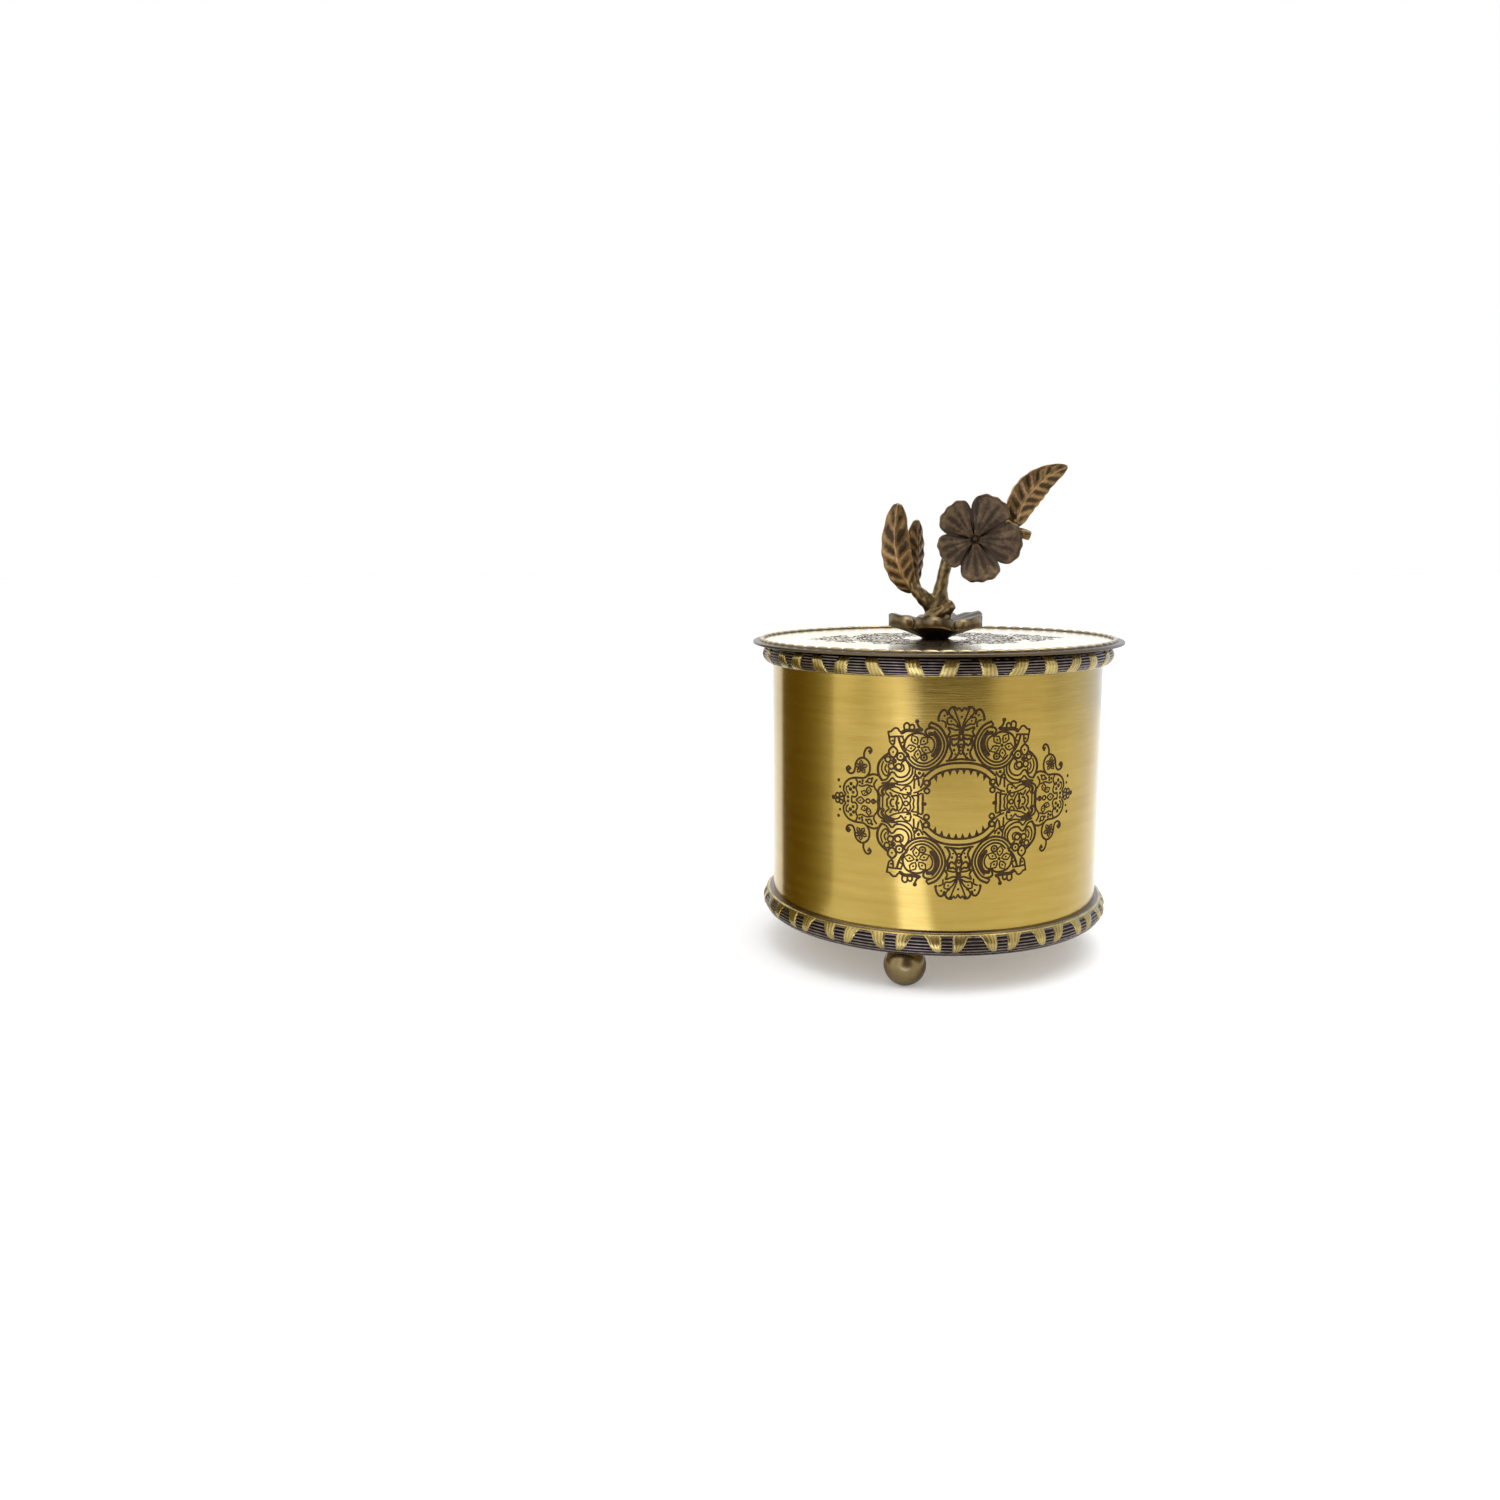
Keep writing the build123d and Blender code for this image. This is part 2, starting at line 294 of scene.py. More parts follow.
nodeLooks = {
    "body_wall": wallBrass,
    "base_pan": innerBrass,
    "lower_band": lowerReeds,
    "upper_band": upperReeds,
    "foot_1": footBrass,
    "foot_2": footBrass,
    "foot_3": footBrass,
    "foot_screws": screwSteel,
    "lid_plate": lidBrass,
    "lid_border": rimBrass,
    "lid_collar": innerBrass,
    "knob_dish": dishBronze,
    "knob_stem": stemBronze,
    "knob_leaf_big": leafBronze,
    "knob_leaf_small": leafBronze,
    "knob_leaf_end": leafBronze,
    "knob_blossom": bronze,
    "knob_blossom_eye": bronze,
    "knob_stud": screwBrass,
    "knob_washer": screwBrass,
    "knob_nut": screwBrass,
}
for node, material in nodeLooks.items():
    mesh = bpy.data.objects[node].data
    mesh.materials.clear()
    mesh.materials.append(material)
print("materials done")


# arabesque medallion, a quarter of it in millimetres from its middle; the rest is mirrored
strokes = [  # (line width, points)
    (0.55, [(0, 11.6), (2.5, 11.5), (5, 11.0), (7.4, 9.9), (9.9, 7.8)]),
    (0.5, [(0, 9.9), (2.5, 9.75), (4.8, 9.2), (6.8, 8.2), (8.5, 6.7)]),
    (0.45, [(8.5, 6.7), (8.3, 6.0), (8.6, 5.2), (9.6, 4.7)]),
    (0.5, [(10.3, 2.8), (10.2, 1.4), (10.3, 0)]),
    (0.5, [(11.6, 3.0), (11.5, 1.5), (11.6, 0)]),
    (0.4, [(12.7, 3.1), (11.2, 3.6), (10.0, 4.5)]),
    (0.4, [(13.0, 2.3), (11.8, 2.4), (10.7, 3.0)]),
    (0.45, [(10.1, 8.7), (11.2, 7.3), (12.5, 8.6)]),
    (0.45, [(11.6, 7.1), (11.3, 5.2)]),
    (0.45, [(12.6, 6.6), (12.7, 4.4)]),
    (0.45, [(10.1, 7.2), (10.4, 5.6), (10.9, 4.7)]),
    # the big C scroll
    (0.55, [(8.3, 22.9), (6.2, 21.9), (4.6, 19.8), (3.7, 17.0), (4.4, 13.9), (6.4, 11.1),
            (9.4, 9.7), (12.4, 10.1), (14.4, 11.5), (15.2, 12.6)]),
    (0.45, [(8.0, 21.5), (6.6, 20.8), (5.3, 19.0), (4.6, 16.8), (5.2, 14.2), (7.0, 11.9),
            (9.5, 10.6), (12.2, 11.0), (13.9, 12.3), (14.4, 13.2)]),
    (0.45, [(7.3, 20.4), (6.1, 18.8), (5.5, 16.8), (6.0, 14.6), (7.6, 12.6), (9.7, 11.5),
            (11.8, 11.8), (13.4, 13.2)]),
    (0.85, [(8.6, 19.8), (7.3, 19.5), (6.45, 18.2), (6.3, 16.5), (6.75, 15.0), (7.7, 13.7)]),
    (0.4, [(8.9, 18.9), (7.9, 18.4), (7.3, 17.2), (7.4, 15.8), (8.1, 14.6)]),
    (0.45, [(8.3, 22.9), (8.9, 22.0), (8.0, 21.5)]),
    (0.45, [(15.2, 12.6), (14.9, 13.4), (14.4, 13.2)]),
    (0.5, [(8.0, 21.4), (9.2, 21.2), (9.8, 20.5), (9.4, 19.4), (8.6, 18.9)]),
    (0.5, [(14.2, 13.2), (15.1, 14.4), (15.6, 16.2), (15.1, 18.2), (13.9, 19.4), (12.0, 19.9),
           (10.4, 19.7), (9.4, 18.8)]),
    # the crown and the banner beside it
    (0.85, [(10.9, 20.9), (12.9, 20.6), (15.0, 20.6), (16.3, 19.9)]),
    (0.5, [(12.1, 22.9), (11.7, 21.8), (10.8, 21.0)]),
    (0.45, [(14.2, 21.0), (14.3, 22.3), (15.0, 22.7), (15.7, 22.1), (15.6, 20.8)]),
    (0.45, [(12.9, 21.0), (12.9, 21.9), (13.5, 22.3), (14.1, 21.8)]),
    (0.45, [(20.2, 20.1), (19.4, 20.2), (18.9, 20.7), (18.2, 21.2), (17.4, 21.0), (16.9, 20.3),
            (16.0, 20.0)]),
    (0.45, [(20.2, 20.1), (19.9, 18.6), (19.6, 17.2), (19.0, 16.6), (18.4, 16.9), (18.3, 18.6)]),
    (0.45, [(19.8, 18.6), (18.3, 18.8), (16.0, 18.9)]),
    (0.55, [(17.3, 18.8), (16.7, 16.8), (15.7, 14.9), (14.5, 13.9)]),
    (0.4, [(16.1, 18.6), (15.7, 17.6), (16.6, 16.9)]),
    (0.4, [(15.7, 16.6), (15.9, 15.7), (15.5, 15.0)]),
    # buds and the curve beside them
    (0.5, [(18.7, 16.1), (17.5, 14.9), (17.9, 13.5), (18.7, 12.9), (19.6, 13.5), (19.9, 14.9),
           (18.7, 16.1)]),
    (0.6, [(20.0, 14.0), (21.4, 12.9), (22.7, 11.3), (23.1, 9.3), (22.7, 7.6), (21.9, 6.3)]),
    (0.4, [(21.5, 11.6), (22.0, 9.9), (21.6, 8.4), (20.8, 7.6)]),
    (0.4, [(20.6, 10.8), (21.0, 9.6), (20.4, 8.6)]),
    (0.4, [(19.9, 9.2), (19.9, 8.3), (20.5, 7.6)]),
    (0.4, [(15.4, 12.2), (16.3, 11.4), (15.7, 10.7)]),
    (0.4, [(15.7, 10.6), (15.6, 9.6), (16.4, 9.0), (17.4, 9.2), (18.2, 9.6)]),
    # stepped ogee bands
    (0.45, [(15.1, 12.3), (14.2, 10.9), (14.0, 9.5), (14.7, 8.1), (16.0, 7.4), (17.4, 7.5),
            (18.3, 8.5), (19.1, 8.7), (19.7, 7.8), (20.6, 6.6), (21.9, 6.2)]),
    (0.45, [(13.2, 10.2), (13.3, 8.4), (14.5, 6.9), (16.2, 6.1), (17.8, 6.2), (18.6, 7.0),
            (19.2, 6.8), (20.0, 5.9), (21.8, 5.4)]),
    (0.4, [(12.4, 9.6), (12.7, 7.6), (13.8, 5.9), (15.6, 5.2), (17.4, 5.3)]),
    (0.5, [(17.4, 5.5), (19.2, 5.5), (21.0, 5.0), (22.6, 4.0), (22.9, 2.8), (22.2, 1.9), (21.4, 1.9)]),
    (0.7, [(18.4, 4.9), (20.2, 4.6), (21.4, 3.8), (21.8, 2.9), (21.3, 2.2)]),
    (0.4, [(19.9, 4.0), (20.8, 3.3), (20.5, 2.4)]),
    (0.4, [(19.8, 4.1), (18.4, 3.3), (16.8, 2.8), (15.0, 2.5), (13.6, 2.7)]),
    (0.4, [(19.6, 4.2), (18.0, 4.6), (16.8, 4.2), (16.4, 3.6)]),
    (0.4, [(16.2, 3.6), (15.2, 4.7), (13.8, 4.9), (13.6, 3.1), (14.6, 3.1)]),
    # the row along the middle
    (0.4, [(22.5, 2.0), (22.5, 0)]),
    (0.4, [(21.6, 1.9), (21.6, 0)]),
    (0.45, [(20.5, 2.5), (19.7, 1.7), (20.3, 0.9), (20.3, 0)]),
    (0.5, [(19.4, 2.8), (18.6, 1.7), (17.7, 2.2), (17.3, 1.3), (17.7, 0)]),
    (0.45, [(19.4, 0), (19.0, 0.9), (18.4, 1.0)]),
    (0.4, [(17.0, 2.3), (16.2, 1.3), (15.8, 0)]),
    (0.4, [(15.9, 2.2), (15.1, 1.3), (14.2, 2.2), (13.6, 1.2), (13.9, 0)]),
    (0.4, [(13.4, 2.2), (12.7, 1.2), (12.9, 0)]),
    # side lobe
    (0.5, [(21.9, 6.3), (22.6, 7.3), (24.3, 7.8), (26.2, 7.2), (27.4, 6.5), (29.8, 6.4),
           (32.0, 5.8), (33.5, 4.3), (33.9, 2.5), (33.2, 1.3), (33.8, 0.5), (33.6, 0)]),
    (0.45, [(23.4, 6.3), (24.2, 5.0), (23.9, 3.8), (23.2, 2.9), (22.9, 1.4), (23.1, 0)]),
    (0.45, [(29.9, 6.2), (29.3, 4.9), (29.8, 3.4), (29.3, 1.9), (30.0, 0.8), (31.0, 0.9), (31.2, 0)]),
    (0.4, [(24.6, 4.2), (26.2, 4.6), (27.8, 4.1), (28.8, 4.3)]),
    (0.4, [(29.7, 0), (28.3, 0.95), (27.1, 0)]),
    (0.4, [(25.0, 0), (24.4, 0.6), (23.6, 0)]),
    (0.4, [(32.3, 1.6), (33.0, 2.6), (32.9, 3.6)]),
    # tendrils
    (0.5, [(26.4, 7.1), (25.6, 8.4), (25.5, 10.2), (26.2, 11.6), (27.6, 12.3), (29.0, 11.8),
           (29.9, 10.6), (30.1, 9.2), (30.5, 8.0), (31.4, 7.5), (32.5, 7.9), (32.9, 8.9),
           (32.2, 9.5), (31.6, 8.9)]),
    (0.5, [(27.2, 12.2), (27.3, 13.6), (26.6, 15.0), (25.6, 15.3), (25.0, 14.5), (25.5, 13.7)]),
    # palmette and bow over the middle
    (0.4, [(0.1, 20.8), (0.6, 22.8), (1.5, 25.0), (2.0, 26.5)]),
    (0.4, [(0.6, 21.4), (2.2, 22.3), (3.6, 22.4), (3.9, 24.0), (2.7, 24.2), (1.5, 23.2), (0.6, 21.4)]),
    (0.4, [(2.4, 24.4), (3.3, 25.2), (3.5, 26.4)]),
    (0.5, [(6.4, 23.6), (6.0, 25.2), (5.2, 26.3), (4.3, 26.2), (3.9, 25.1)]),
    (0.5, [(3.8, 25.8), (2.9, 27.0), (2.0, 27.1)]),
    (0.45, [(1.3, 26.4), (0.7, 26.9), (0, 26.0)]),
    (0.45, [(0.5, 21.0), (1.6, 20.8), (3.6, 21.5), (3.1, 20.2), (3.7, 18.9), (1.8, 19.3), (0.4, 19.4)]),
    (0.5, [(0.5, 18.9), (1.5, 18.2), (2.4, 18.3), (2.7, 17.3), (2.0, 16.5), (1.2, 17.0)]),
    (0.5, [(0.4, 18.6), (0.9, 16.7), (0.5, 15.0), (1.2, 13.5), (2.3, 12.4)]),
    (0.5, [(3.0, 18.7), (3.1, 16.2), (2.5, 14.3), (3.3, 12.5)]),
    (0.5, [(0, 12.7), (1.8, 12.5), (3.9, 12.2)]),
    (0.4, [(5.4, 23.4), (4.4, 22.9), (4.3, 21.6)]),
]
rings = [  # (x, y, radius, line width)
    (9.15, 3.7, 0.72, 0.45), (9.25, 6.0, 0.7, 0.45), (12.4, 7.4, 0.5, 0.4),
    (10.1, 13.1, 0.85, 0.45), (16.6, 13.2, 1.05, 0.5), (20.2, 12.3, 0.8, 0.45),
    (19.2, 10.4, 0.85, 0.45), (17.1, 10.3, 0.85, 0.45), (25.5, 5.9, 0.65, 0.4),
    (34.7, 1.0, 0.6, 0.45), (36.0, 0.75, 0.65, 0.45), (0, 16.4, 0.45, 0.4), (0, 14.6, 0.5, 0.4),
    (14.9, 0, 0.65, 0.4), (26.0, 0, 0.6, 0.4),
]
dots = [  # (x, y, radius)
    (10.1, 13.1, 0.4), (12.1, 23.2, 0.62), (18.7, 14.4, 0.32), (16.6, 13.2, 0.35),
    (18.4, 11.9, 0.8), (11.3, 8.7, 0.5), (18.9, 17.6, 0.35), (31.4, 4.5, 0.55), (30.5, 3.6, 0.55),
    (31.6, 2.9, 0.6), (30.7, 2.1, 0.5), (32.3, 3.7, 0.4), (28.6, 5.3, 0.42), (27.7, 5.7, 0.42),
    (27.8, 4.9, 0.4), (26.5, 5.5, 0.42), (24.7, 6.6, 0.4), (37.4, 0, 0.7), (35.3, 0, 0.4),
    (32.4, 0.6, 0.5), (32.2, 8.6, 0.5), (25.7, 14.3, 0.42), (35.6, 5.2, 0.5), (35.1, 3.3, 0.4),
    (2.0, 26.9, 0.6), (2.8, 23.3, 0.3), (6.2, 23.5, 0.4), (4.7, 24.8, 0.35), (0, 20.2, 0.85),
    (0, 24.4, 0.35), (1.9, 15.2, 0.4), (1.6, 14.1, 0.3), (2.7, 13.4, 0.35), (0, 18.0, 0.4),
    (28.4, 0, 0.3), (15.0, 4.0, 0.35), (9.7, 0, 0.55), (17.0, 0.1, 0.3), (14.2, 22.0, 0.3),
    (13.4, 3.8, 0.3), (24.3, 0.1, 0.25),
]
rosettes = [  # (x, y, petals, distance, petal radius, turn, heart)
    (11.6, 16.1, 5, 2.12, 1.14, 60, 0.5), (28.2, 9.6, 5, 1.15, 0.6, 90, 0.45),
    (25.8, 1.7, 2, 1.35, 0.85, 20, 0.0),
]
petalOutline = [(-1.15, 0), (-0.5, 0.6), (0.3, 0.85), (1.35, 0), (0.3, -0.85), (-0.5, -0.6)]
teeth = [  # (middle of the base, tip)
    ((0.95, 9.85), (0.9, 8.2)), ((2.95, 9.6), (2.85, 7.95)), ((5.0, 9.0), (4.8, 7.3)),
    ((6.95, 8.0), (6.5, 6.2)),
]
toothHalf, toothSlant = 0.65, 0.12
petalLine, petalDot = 0.42, 0.3
lineScale, pathSteps = 1.3, 4
ringSides, endSides = 12, 8


def ribbon(path, width):
    # quads along a path
    sides = []
    for i, place in enumerate(path):
        before, after = path[max(i - 1, 0)], path[min(i + 1, len(path) - 1)]
        if i == len(path) - 1 and path[0] == path[-1]:
            after = path[1]
        if i == 0 and path[0] == path[-1]:
            before = path[-2]
        dx, dy = after[0] - before[0], after[1] - before[1]
        long = hypot(dx, dy)
        nx, ny = -dy / long * width / 2, dx / long * width / 2
        sides.append(((place[0] + nx, place[1] + ny), (place[0] - nx, place[1] - ny)))
    return [[a, b, d, c] for (a, b), (c, d) in zip(sides, sides[1:])]


def quarterShapes():
    shapes = []
    for width, points in strokes:
        width *= lineScale
        shapes += ribbon(smoothPath(points, pathSteps), width)
        for x, y in (points[0], points[-1]):
            shapes.append(circle(x, y, width * 0.49, endSides))
    for x, y, radius, width in rings:
        path = circle(x, y, radius, ringSides)
        shapes += ribbon(path + path[:1], width * lineScale)
    for x, y, radius in dots:
        shapes.append(circle(x, y, radius, ringSides))
    for x, y, count, distance, radius, turn, heart in rosettes:
        for k in range(count):
            angle = radians(turn + 360 / max(count, 5) * k)
            across, up = cos(angle), sin(angle)
            px, py = x + distance * across, y + distance * up
            path = []
            for a, b in petalOutline:
                path.append((px + radius * (a * across - b * up), py + radius * (a * up + b * across)))
            shapes += ribbon(path + path[:1], petalLine * lineScale)
            shapes.append(circle(px, py, radius * petalDot, endSides))
        if heart:
            shapes.append(circle(x, y, heart, ringSides))
    for (x, y), tip in teeth:
        shapes.append([(x - toothHalf, y), tip, (x + toothHalf, y - toothSlant)])
    return shapes


def medallionShapes(scale, lift, lean):
    # all four quarters, each shape wound the same way
    shapes = []
    for shape in quarterShapes():
        for flipX, flipY in ((1, 1), (-1, 1), (1, -1), (-1, -1)):
            turned = []
            for x, y in shape:
                height = y * flipY * scale + lift + radians(lean) * x * flipX * scale
                turned.append((x * flipX * scale, height))
            area = sum(a[0] * b[1] - b[0] * a[1] for a, b in zip(turned, turned[1:] + turned[:1]))
            shapes.append(turned if area > 0 else turned[::-1])
    return shapes


def insideTest(shapes):
    # a test of whether a point lies in any shape, with the shapes sorted into cells of 1 mm
    cells = {}
    for shape in shapes:
        xs, ys = [x for x, _ in shape], [y for _, y in shape]
        for i in range(int(min(xs) // 1), int(max(xs) // 1) + 1):
            for j in range(int(min(ys) // 1), int(max(ys) // 1) + 1):
                cells.setdefault((i, j), []).append(shape)

    def inside(x, y):
        for shape in cells.get((int(x // 1), int(y // 1)), ()):
            crossed = False
            for (ax, ay), (bx, by) in zip(shape, shape[1:] + shape[:1]):
                if (ay > y) != (by > y) and x < ax + (bx - ax) * (y - ay) / (by - ay):
                    crossed = not crossed
            if crossed:
                return True
        return False

    return inside


def etchedFaces(bm, outline, seams, shapes, place, depth):
    # a sheet with the shapes sunk into it; place maps a flat point and a depth into space
    points, edges = [], []
    for loop in [outline] + seams:
        start = len(points)
        points += [Vector(point) for point in loop]
        edges += [(start + k, start + k + 1) for k in range(len(loop) - 1)]
        if loop is outline:
            edges.append((start + len(loop) - 1, start))
    for shape in shapes:
        start = len(points)
        points += [Vector(point) for point in shape]
        edges += [(start + k, start + (k + 1) % len(shape)) for k in range(len(shape))]
    flat, _, triangles, _, _, _ = delaunay_2d_cdt(points, edges, [], 0, 1e-4, False)
    inside = insideTest(shapes)
    verts = {}

    def vertAt(index, low):
        if (index, low) not in verts:
            x, y = flat[index]
            verts[index, low] = bm.verts.new(place(x, y, depth if low else 0.0))
        return verts[index, low]

    lowEdges, highEdges, made = set(), set(), set()
    for triangle in triangles:
        if frozenset(triangle) in made:
            continue
        made.add(frozenset(triangle))
        middle = sum((flat[index] for index in triangle), Vector((0, 0))) / 3
        low = inside(middle.x, middle.y)
        face = bm.faces.new([vertAt(index, low) for index in triangle])
        face.material_index = 1 if low else 0
        for a, b in zip(triangle, triangle[1:] + triangle[:1]):
            (lowEdges if low else highEdges).add((a, b))
    for a, b in lowEdges:
        if (b, a) in highEdges:
            corners = (vertAt(a, True), vertAt(a, False), vertAt(b, False), vertAt(b, True))
            bm.faces.new(corners).material_index = 1


def etchedObject(name, bm, smoothNormal, materials, body):
    # faces that lie near the smooth surface get its normals, the sides of the lines keep their own
    obj = makeObject(name, bm, doubles=2e-4)
    mesh = obj.data
    leastLikeness = 0.93
    normals = []
    for polygon in mesh.polygons:
        for index in polygon.vertices:
            ideal = smoothNormal(mesh.vertices[index].co)
            near = polygon.normal.dot(ideal) > leastLikeness
            normals.append(ideal if near else polygon.normal.copy())
    mesh.normals_split_custom_set(normals)
    for material in materials:
        mesh.materials.append(material)
    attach(obj, body)
    return obj


# the medallions are given by scale, height and lean in degrees, their lines by depth
wall = {"radius": 50.5, "inner": 49.7, "sides": 240, "medallion": (0.995, 54.3, 0.6), "depth": 0.13}
lid = {
    "flange": 54.8,
    "edge": 56.6,
    "drop": 0.2,
    "thick": 0.8,
    "round": 0.15,
    "sides": 180,
    "medallion": (1.05, 0.0, 0.0),
    "depth": 0.10,
}
lidTop = heights("lid_plate")[1]


def wallPiece():
    bottom, top = heights("body_wall")
    radius, inner = wall["radius"], wall["inner"]
    turns = [2 * pi * (k / wall["sides"] - 0.5) for k in range(wall["sides"] + 1)]

    def place(u, v, depth):
        return around(radius - depth, u / radius, v)

    outline = [(turn * radius, bottom) for turn in turns]
    outline += [(turn * radius, top) for turn in reversed(turns)]
    seams = [[(turn * radius, bottom), (turn * radius, top)] for turn in turns[1:-1]]
    bm = bmesh.new()
    etchedFaces(bm, outline, seams, medallionShapes(*wall["medallion"]), place, wall["depth"])
    profile = ((radius, bottom), (inner, bottom), (inner, top), (radius, top))
    rows = [[around(ringRadius, turn, z) for turn in turns[:-1]] for ringRadius, z in profile]
    addGrid(bm, rows, closeColumns=True)

    def outward(co):
        return Vector((co.x, co.y, 0)).normalized()

    obj = etchedObject("etchedWall", bm, outward, (wallBrass, etch), "box")
    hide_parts("body_wall")


def lidPiece():
    flange, edge, corner, sides = lid["flange"], lid["edge"], lid["round"], lid["sides"]
    rim, under = lidTop - lid["drop"], lidTop - lid["drop"] - lid["thick"]

    def place(u, v, depth):
        return (u, v, lidTop - depth)

    bm = bmesh.new()
    shapes = medallionShapes(*lid["medallion"])
    etchedFaces(bm, circle(0, 0, flange, sides), [], shapes, place, lid["depth"])
    profile = [
        (flange, lidTop), (edge - 0.2, rim + 0.02), (edge, rim - corner), (edge, under + 0.1),
        (edge - corner, under), (flange, lidTop - lid["thick"]),
    ]
    rows = [[(x, y, z) for x, y in circle(0, 0, radius, sides)] for radius, z in profile]
    table = addGrid(bm, rows, closeColumns=True)
    bm.faces.new(table[-1])
    for face in bm.faces:
        nearest = min(hypot(vert.co.x, vert.co.y) for vert in face.verts)
        if face.material_index == 0 and nearest > flange - 0.1:
            face.material_index = 2

    def upward(co):
        return Vector((0, 0, 1))

    obj = etchedObject("etchedLid", bm, upward, (lidBrass, etch, rimBrass), "lid")
    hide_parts("lid_plate")


wallPiece()
print("wall done")
lidPiece()
print("lid done")


# gallery bands: bright leaves and a bright lip over the dark reeds
band = {"lip": 1.1, "bulge": 3.0, "reedRise": 0.3}
galleryLeaf = {
    "rise": 0.36,
    "across": 12,
    "along": 14,
    "grooves": 4,
    "twist": 0.25,
    "grooveDepth": 0.14,
    "sunk": 0.12,
    "meanRadius": 53.5,
    "rub": 0.72,
    "grooveShading": 0.24,
    "edgeBrightening": 0.1,
}
strap = {"lean": 1.6, "half": 2.0, "widening": 0.35}
wing = {"inner": 1.6, "foot": 1.5, "bow": 3.0, "curve": 0.6, "flare": 0.9, "flareFrom": 0.8}
lip = {"steps": 240, "across": 8, "fall": 0.75, "swell": 0.16, "rub": 0.85, "wave": 0.15, "glintWaves": 37}


def bandRadius(share):
    bow = 1 - (2 * share - 1) ** 2
    bulge = band["bulge"] - band["lip"] - band["reedRise"]
    return wall["radius"] + band["lip"] + bulge * bow + band["reedRise"]


def strapEdges(t, lean):
    # leaf of the upper band: a leaning strap, a little wider at the lip
    middle = lean * strap["lean"] * (t - 0.5)
    half = strap["half"] + strap["widening"] * t
    return middle - half, middle + half


def wingEdges(t, side):
    # leaf of the lower band: upright inner edge, outer edge bowed and flared into the lip
    flareShare = max(0.0, t - wing["flareFrom"]) / (1 - wing["flareFrom"])
    inner = wing["inner"]
    outer = inner + wing["foot"] + wing["bow"] * t ** wing["curve"] + wing["flare"] * flareShare * t
    return (inner, outer) if side > 0 else (-outer, -inner)


def addGalleryLeaf(bm, layer, level, height, angle, lean, flip, edges, reach):
    a = galleryLeaf
    points, values = [], []
    for i in range(a["along"] + 1):
        t = i / a["along"]
        share = reach[0] + (reach[1] - reach[0]) * t
        high = 1 - share if flip else share
        left, right = edges(t, lean)
        row, rowValues = [], []
        for j in range(a["across"] + 1):
            s = 2 * j / a["across"] - 1
            groove = cos(pi * a["grooves"] * (s * lean + a["twist"] * t))
            body = (1 - s**8) * min(1.0, 0.35 + 6 * t)
            rise = a["rise"] * body * (1 - a["grooveDepth"] + a["grooveDepth"] * groove)
            turn = angle + (left + (right - left) * (s + 1) / 2) / a["meanRadius"]
            row.append(around(bandRadius(high) + rise - a["sunk"], turn, level + high * height))
            # groove ridges are painted lighter as highlight and groove hollows darker as shade; the
            # outer edges are lighter
            edgeBrightening = a["edgeBrightening"] if abs(s) == 1 else 0
            rowValues.append(a["rub"] + a["grooveShading"] * groove * (1 - s**4) + edgeBrightening)
        points.append(row)
        values.append(rowValues)
    addGrid(bm, points, layer=layer, values=values)


def addLip(bm, layer, level, height, flip, width):
    # the plain bright bead along the edge that joins the leaves
    points, values = [], []
    for k in range(lip["steps"]):
        turn = 2 * pi * k / lip["steps"]
        row = []
        for j in range(lip["across"] + 1):
            bow = j / lip["across"]
            share = 1 - width + width * bow
            high = 1 - share if flip else share
            out = (bandRadius(share) - wall["radius"]) * (1 - lip["fall"] * bow**3)
            radius = wall["radius"] + out + lip["swell"] * sin(pi * bow)
            row.append(around(radius, turn, level + high * height))
        points.append(row)
        # painted glints rise and fall in waves along the lip
        values.append([lip["rub"] + lip["wave"] * sin(turn * lip["glintWaves"]) for _ in row])
    addGrid(bm, points, closeRows=True, layer=layer, values=values)


def galleryLeaves(name, node, flip, leaves, edges, reach, lipWidth):
    level, top = heights(node)
    height = top - level
    bm = bmesh.new()
    layer = bm.verts.layers.float.new("rub")
    for angle, lean in leaves:
        addGalleryLeaf(bm, layer, level, height, radians(angle), lean, flip, edges, reach)
    addLip(bm, layer, level, height, flip, lipWidth)
    obj = makeObject(name, bm)
    onBody(obj, "box", leafBrass)


lowerLeaves = [(-3.5 + 360 / 21 * k, side) for k in range(21) for side in (-1, 1)]
upperLeaves = [  # (degrees from the front, lean)
    (-64.7, 1), (-56.4, -1), (-46.4, 1), (-37.5, -1), (-26.8, 1), (-14.6, 1), (-4.1, -1), (7.2, 1),
    (17.1, -1), (27.8, 1), (38.3, -1), (48.0, 1), (59.3, -1), (70.5, 1),
]
upperLeaves += [(81.4 + 10.62 * k, -1 if k % 2 == 0 else 1) for k in range(20)]
galleryLeaves("lowerLeaves", "lower_band", False, lowerLeaves, wingEdges, (0.22, 0.93), 0.10)
galleryLeaves("upperLeaves", "upper_band", True, upperLeaves, strapEdges, (0.10, 0.96), 0.08)
print("bands done")


# rope border on the lid
borderBead = {
    "count": 74,
    "radius": 53.9,
    "half": 0.9,
    "rise": 0.82,
    "sunk": 0.03,
    "slant": 0.35,
    "overlap": 1.12,
    "roundness": 2.4,
    "along": 10,
    "across": 8,
    "topHighlight": 1.35,
    "lowShade": -0.25,
}


